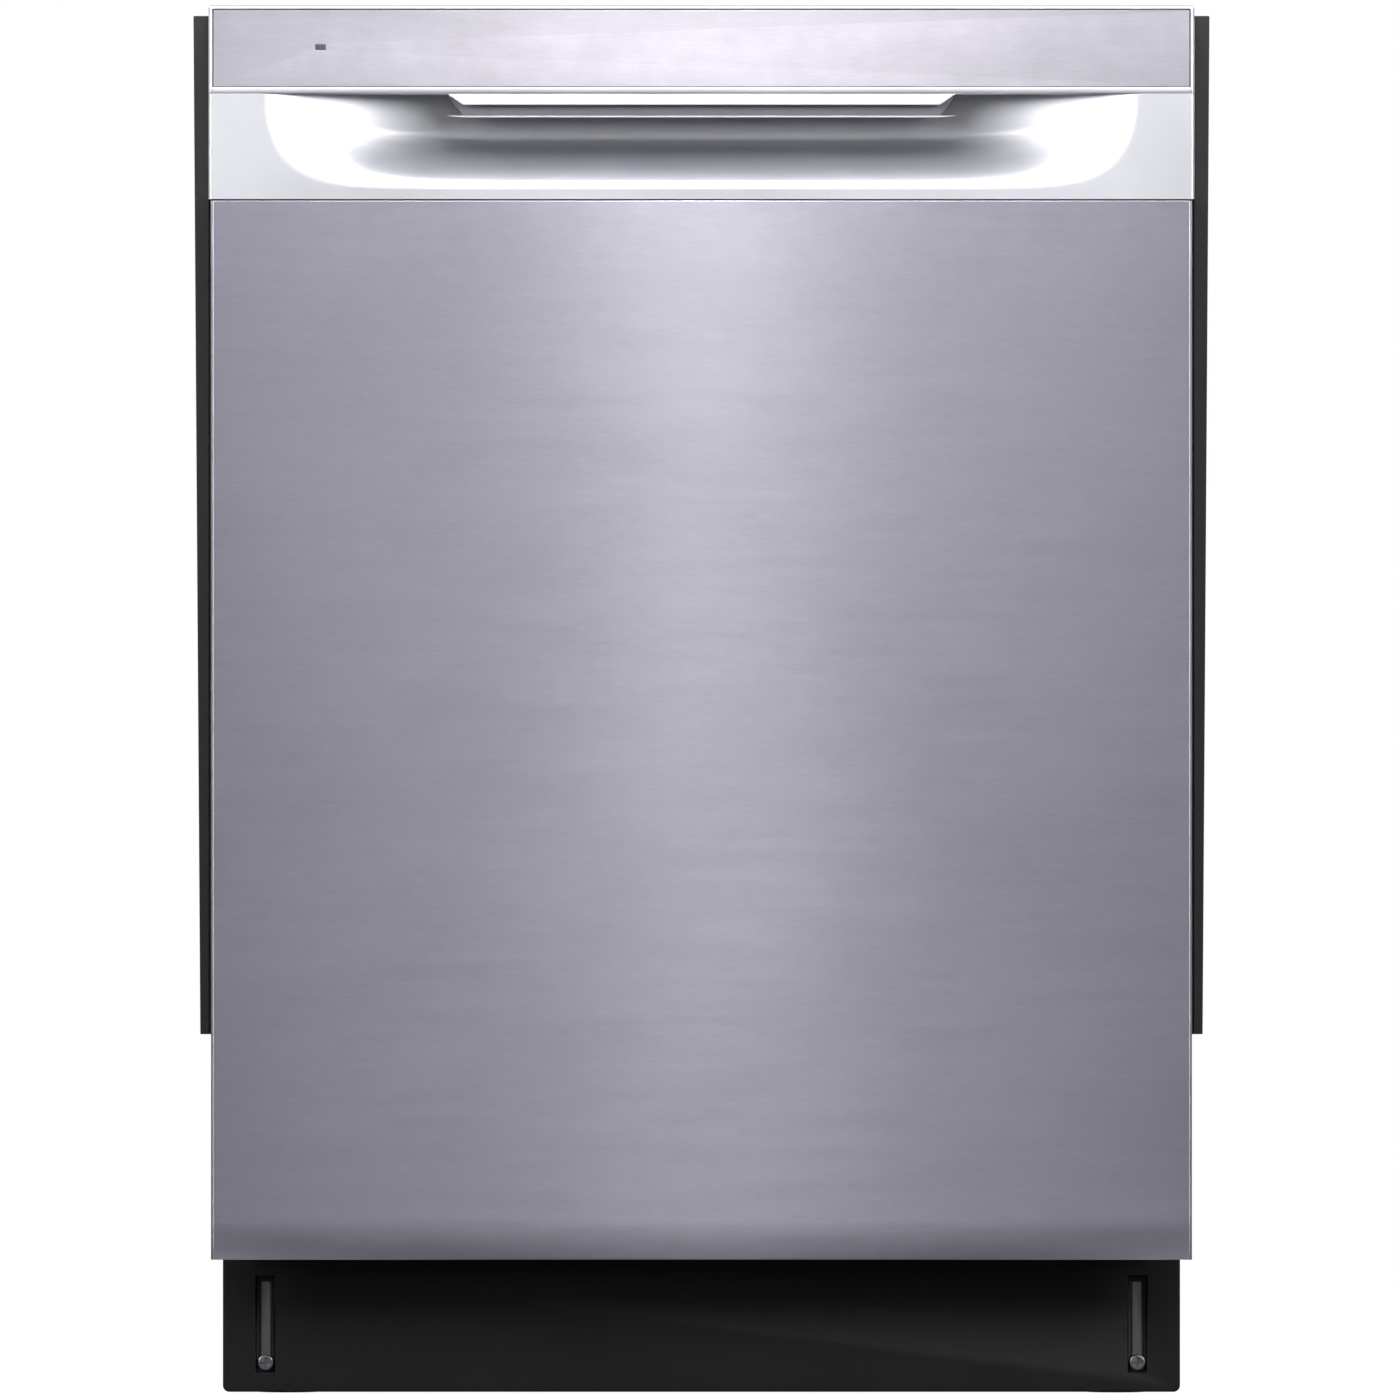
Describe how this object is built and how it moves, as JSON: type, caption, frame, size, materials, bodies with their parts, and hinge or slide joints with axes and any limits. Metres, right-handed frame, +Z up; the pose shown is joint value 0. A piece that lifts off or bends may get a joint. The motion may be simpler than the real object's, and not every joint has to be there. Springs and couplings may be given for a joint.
{
  "type": "built-in dishwasher",
  "caption": "Built-in dishwasher with a drop-down stainless door, scooped pocket handle, brushed fascia strip, stainless tub, wire racks, spray arms and a recessed black toe panel.",
  "frame": {"origin": "on the floor under the middle of the machine's overall box", "axes": "front of the door faces -Y, +X is to the right of someone facing the door, +Z is up"},
  "size_m": [0.6234, 0.62, 0.851],
  "materials": {
    "door_steel": "fine horizontal brushing, satin",
    "console_silver": "satin silver paint",
    "grip_grey": "fine texture",
    "fascia_steel": "fine horizontal brushing, bright",
    "indicator": "dark smoked lens",
    "control_black": "glossy black strip",
    "key_grey": "satin keys",
    "liner_steel": "bright annealed stainless",
    "dispenser_plastic": "moulded grey",
    "dispenser_blue": "moulded blue-grey",
    "latch_plastic": "moulded black",
    "zinc_steel": "zinc-plated steel sheet",
    "kick_black": "black powder coat",
    "screw_black": "black-coated screw",
    "leg_plastic": "glass-filled nylon",
    "spring_steel": "drawn spring wire",
    "tub_steel": "bright annealed stainless",
    "gasket_rubber": "extruded rubber",
    "seal_rubber": "matt black extrusion",
    "blanket_felt": "bitumen-backed felt",
    "sump_plastic": "moulded grey polypropylene",
    "filter_steel": "perforated stainless plate",
    "filter_plastic": "moulded grey with fine mesh",
    "pump_plastic": "moulded black",
    "valve_plastic": "moulded white",
    "arm_plastic": "moulded grey polypropylene",
    "rack_vinyl": "grey vinyl-coated wire",
    "wheel_plastic": "moulded grey nylon",
    "glide_nylon": "moulded nylon",
    "basket_plastic": "moulded grey"
  },
  "bodies": {
    "chassis": {"base_frame": "zinc_steel", "toe_kick_screws": "screw_black", "hinge_bracket_left": "zinc_steel", "hinge_bracket_right": "zinc_steel", "door_springs": "spring_steel", "tub_wrapper": "tub_steel", "tub_back_panel": "tub_steel", "tub_floor": "tub_steel", "tub_front_frame": "tub_steel", "tub_gasket": "gasket_rubber", "side_seal_left": "seal_rubber", "side_seal_right": "seal_rubber", "sound_blanket": "blanket_felt", "mounting_brackets": "zinc_steel", "latch_strike": "zinc_steel", "sump_body": "sump_plastic", "filter_plate": "filter_steel", "circulation_pump": "pump_plastic", "drain_pump": "pump_plastic", "inlet_valve": "valve_plastic", "junction_box": "zinc_steel", "feed_tube": "arm_plastic", "rack_glides": "glide_nylon"},
    "door": {"outer_door_panel": "door_steel", "handle_console": "console_silver", "grip_insert": "grip_grey", "fascia_strip": "fascia_steel", "indicator_lens": "indicator", "control_strip": "control_black", "inner_door_panel": "liner_steel", "detergent_dispenser": "dispenser_plastic", "door_latch": "latch_plastic", "hinge_arm_left": "zinc_steel", "hinge_arm_right": "zinc_steel"},
    "key_1": {"control_key_1": "key_grey"},
    "key_2": {"control_key_2": "key_grey"},
    "key_3": {"control_key_3": "key_grey"},
    "key_4": {"control_key_4": "key_grey"},
    "lid": {"dispenser_lid": "dispenser_plastic"},
    "rinse_cap": {"rinse_aid_cap": "dispenser_blue"},
    "bolt": {"latch_bolt": "latch_plastic"},
    "front_left_leg": {"leg_front_left": "leg_plastic"},
    "front_right_leg": {"leg_front_right": "leg_plastic"},
    "rear_left_leg": {"leg_rear_left": "leg_plastic"},
    "rear_right_leg": {"leg_rear_right": "leg_plastic"},
    "toe_panel": {"toe_kick_panel": "kick_black"},
    "filter": {"filter_cylinder": "filter_plastic"},
    "float": {"water_float": "arm_plastic"},
    "lower_arm": {"lower_spray_arm": "arm_plastic"},
    "middle_arm": {"middle_spray_arm": "arm_plastic"},
    "top_arm": {"top_spray_arm": "arm_plastic"},
    "lower_basket": {"lower_rack": "rack_vinyl"},
    "front_left_wheel": {"rack_wheel_front_left": "wheel_plastic"},
    "front_right_wheel": {"rack_wheel_front_right": "wheel_plastic"},
    "rear_left_wheel": {"rack_wheel_rear_left": "wheel_plastic"},
    "rear_right_wheel": {"rack_wheel_rear_right": "wheel_plastic"},
    "cutlery_basket": {"silverware_basket": "basket_plastic"},
    "upper_basket": {"upper_rack": "rack_vinyl", "rack_manifold": "arm_plastic"},
    "shelf": {"cup_shelf": "basket_plastic"}
  },
  "joints": [
    {"name": "door_hinge", "type": "hinge", "parent": "chassis", "child": "door", "pos_m": [0, -0.27, 0.118], "axis": [1, 0, 0], "range_deg": [0, 90], "stiffness_Nm_per_rad": 18, "springref_deg": -8.59, "deforming": ["door_springs"]},
    {"name": "upper_rack_slide", "type": "slide", "parent": "chassis", "child": "upper_basket", "axis": [0, -1, 0], "range_m": [0, 0.393]},
    {"name": "lower_rack_slide", "type": "slide", "parent": "chassis", "child": "lower_basket", "axis": [0, -1, 0], "range_m": [0, 0.134]},
    {"name": "front_left_wheel_roll", "type": "hinge", "parent": "lower_basket", "child": "front_left_wheel", "pos_m": [-0.251, -0.14, 0.145], "axis": [1, 0, 0], "range_deg": [0, 470]},
    {"name": "front_right_wheel_roll", "type": "hinge", "parent": "lower_basket", "child": "front_right_wheel", "pos_m": [0.251, -0.14, 0.145], "axis": [1, 0, 0], "range_deg": [0, 470]},
    {"name": "rear_left_wheel_roll", "type": "hinge", "parent": "lower_basket", "child": "rear_left_wheel", "pos_m": [-0.251, 0.15, 0.145], "axis": [1, 0, 0], "range_deg": [0, 470]},
    {"name": "rear_right_wheel_roll", "type": "hinge", "parent": "lower_basket", "child": "rear_right_wheel", "pos_m": [0.251, 0.15, 0.145], "axis": [1, 0, 0], "range_deg": [0, 470]},
    {"name": "lower_arm_spin", "type": "hinge", "parent": "chassis", "child": "lower_arm", "pos_m": [0, 0, 0.144], "axis": [0, 0, 1], "continuous": true},
    {"name": "middle_arm_spin", "type": "hinge", "parent": "upper_basket", "child": "middle_arm", "pos_m": [0, 0, 0.44631], "axis": [0, 0, 1], "continuous": true},
    {"name": "top_arm_spin", "type": "hinge", "parent": "chassis", "child": "top_arm", "pos_m": [0, 0, 0.801], "axis": [0, 0, 1], "continuous": true},
    {"name": "key_1_press", "type": "slide", "parent": "door", "child": "key_1", "axis": [0, 0, -1], "range_m": [0, 0.001], "stiffness_N_per_m": 600, "springref_m": -0.0008},
    {"name": "key_2_press", "type": "slide", "parent": "door", "child": "key_2", "axis": [0, 0, -1], "range_m": [0, 0.001], "stiffness_N_per_m": 600, "springref_m": -0.0008},
    {"name": "key_3_press", "type": "slide", "parent": "door", "child": "key_3", "axis": [0, 0, -1], "range_m": [0, 0.001], "stiffness_N_per_m": 600, "springref_m": -0.0008},
    {"name": "key_4_press", "type": "slide", "parent": "door", "child": "key_4", "axis": [0, 0, -1], "range_m": [0, 0.001], "stiffness_N_per_m": 600, "springref_m": -0.0008},
    {"name": "latch_bolt_press", "type": "slide", "parent": "door", "child": "bolt", "axis": [0, 0, -1], "range_m": [0, 0.004], "stiffness_N_per_m": 500, "springref_m": -0.002},
    {"name": "dispenser_lid_hinge", "type": "hinge", "parent": "door", "child": "lid", "pos_m": [-0.029, -0.2575, 0.35565], "axis": [-1, 0, 0], "range_deg": [0, 95]},
    {"name": "rinse_cap_turn", "type": "hinge", "parent": "door", "child": "rinse_cap", "pos_m": [0.044, -0.259, 0.38516], "axis": [0, 1, 0], "range_deg": [0, 90]},
    {"name": "filter_turn", "type": "hinge", "parent": "chassis", "child": "filter", "pos_m": [0, 0.08, 0.113], "axis": [0, 0, 1], "range_deg": [0, 60]},
    {"name": "float_lift", "type": "slide", "parent": "chassis", "child": "float", "axis": [0, 0, 1], "range_m": [0, 0.012]},
    {"name": "front_left_leg_height", "type": "slide", "parent": "chassis", "child": "front_left_leg", "axis": [0, 0, -1], "range_m": [0, 0.038]},
    {"name": "front_right_leg_height", "type": "slide", "parent": "chassis", "child": "front_right_leg", "axis": [0, 0, -1], "range_m": [0, 0.038]},
    {"name": "rear_left_leg_height", "type": "slide", "parent": "chassis", "child": "rear_left_leg", "axis": [0, 0, -1], "range_m": [0, 0.038]},
    {"name": "rear_right_leg_height", "type": "slide", "parent": "chassis", "child": "rear_right_leg", "axis": [0, 0, -1], "range_m": [0, 0.038]},
    {"name": "toe_panel_height", "type": "slide", "parent": "chassis", "child": "toe_panel", "axis": [0, 0, -1], "range_m": [0, 0.04]},
    {"name": "basket_lift", "type": "slide", "parent": "lower_basket", "child": "cutlery_basket", "axis": [0, 0, 1], "range_m": [0, 0.1]},
    {"name": "cup_shelf_fold", "type": "hinge", "parent": "upper_basket", "child": "shelf", "pos_m": [-0.237, -0.09, 0.56831], "axis": [0, -1, 0], "range_deg": [0, 85]}
  ],
  "couplings": [
    {"joint": "upper_rack_slide", "follows": "door_hinge", "m_per_rad": 0.25},
    {"joint": "lower_rack_slide", "follows": "door_hinge", "m_per_rad": 0.085},
    {"joint": "front_left_wheel_roll", "follows": "door_hinge", "ratio": 5.1515},
    {"joint": "front_right_wheel_roll", "follows": "door_hinge", "ratio": 5.1515},
    {"joint": "rear_left_wheel_roll", "follows": "door_hinge", "ratio": 5.1515},
    {"joint": "rear_right_wheel_roll", "follows": "door_hinge", "ratio": 5.1515}
  ]
}
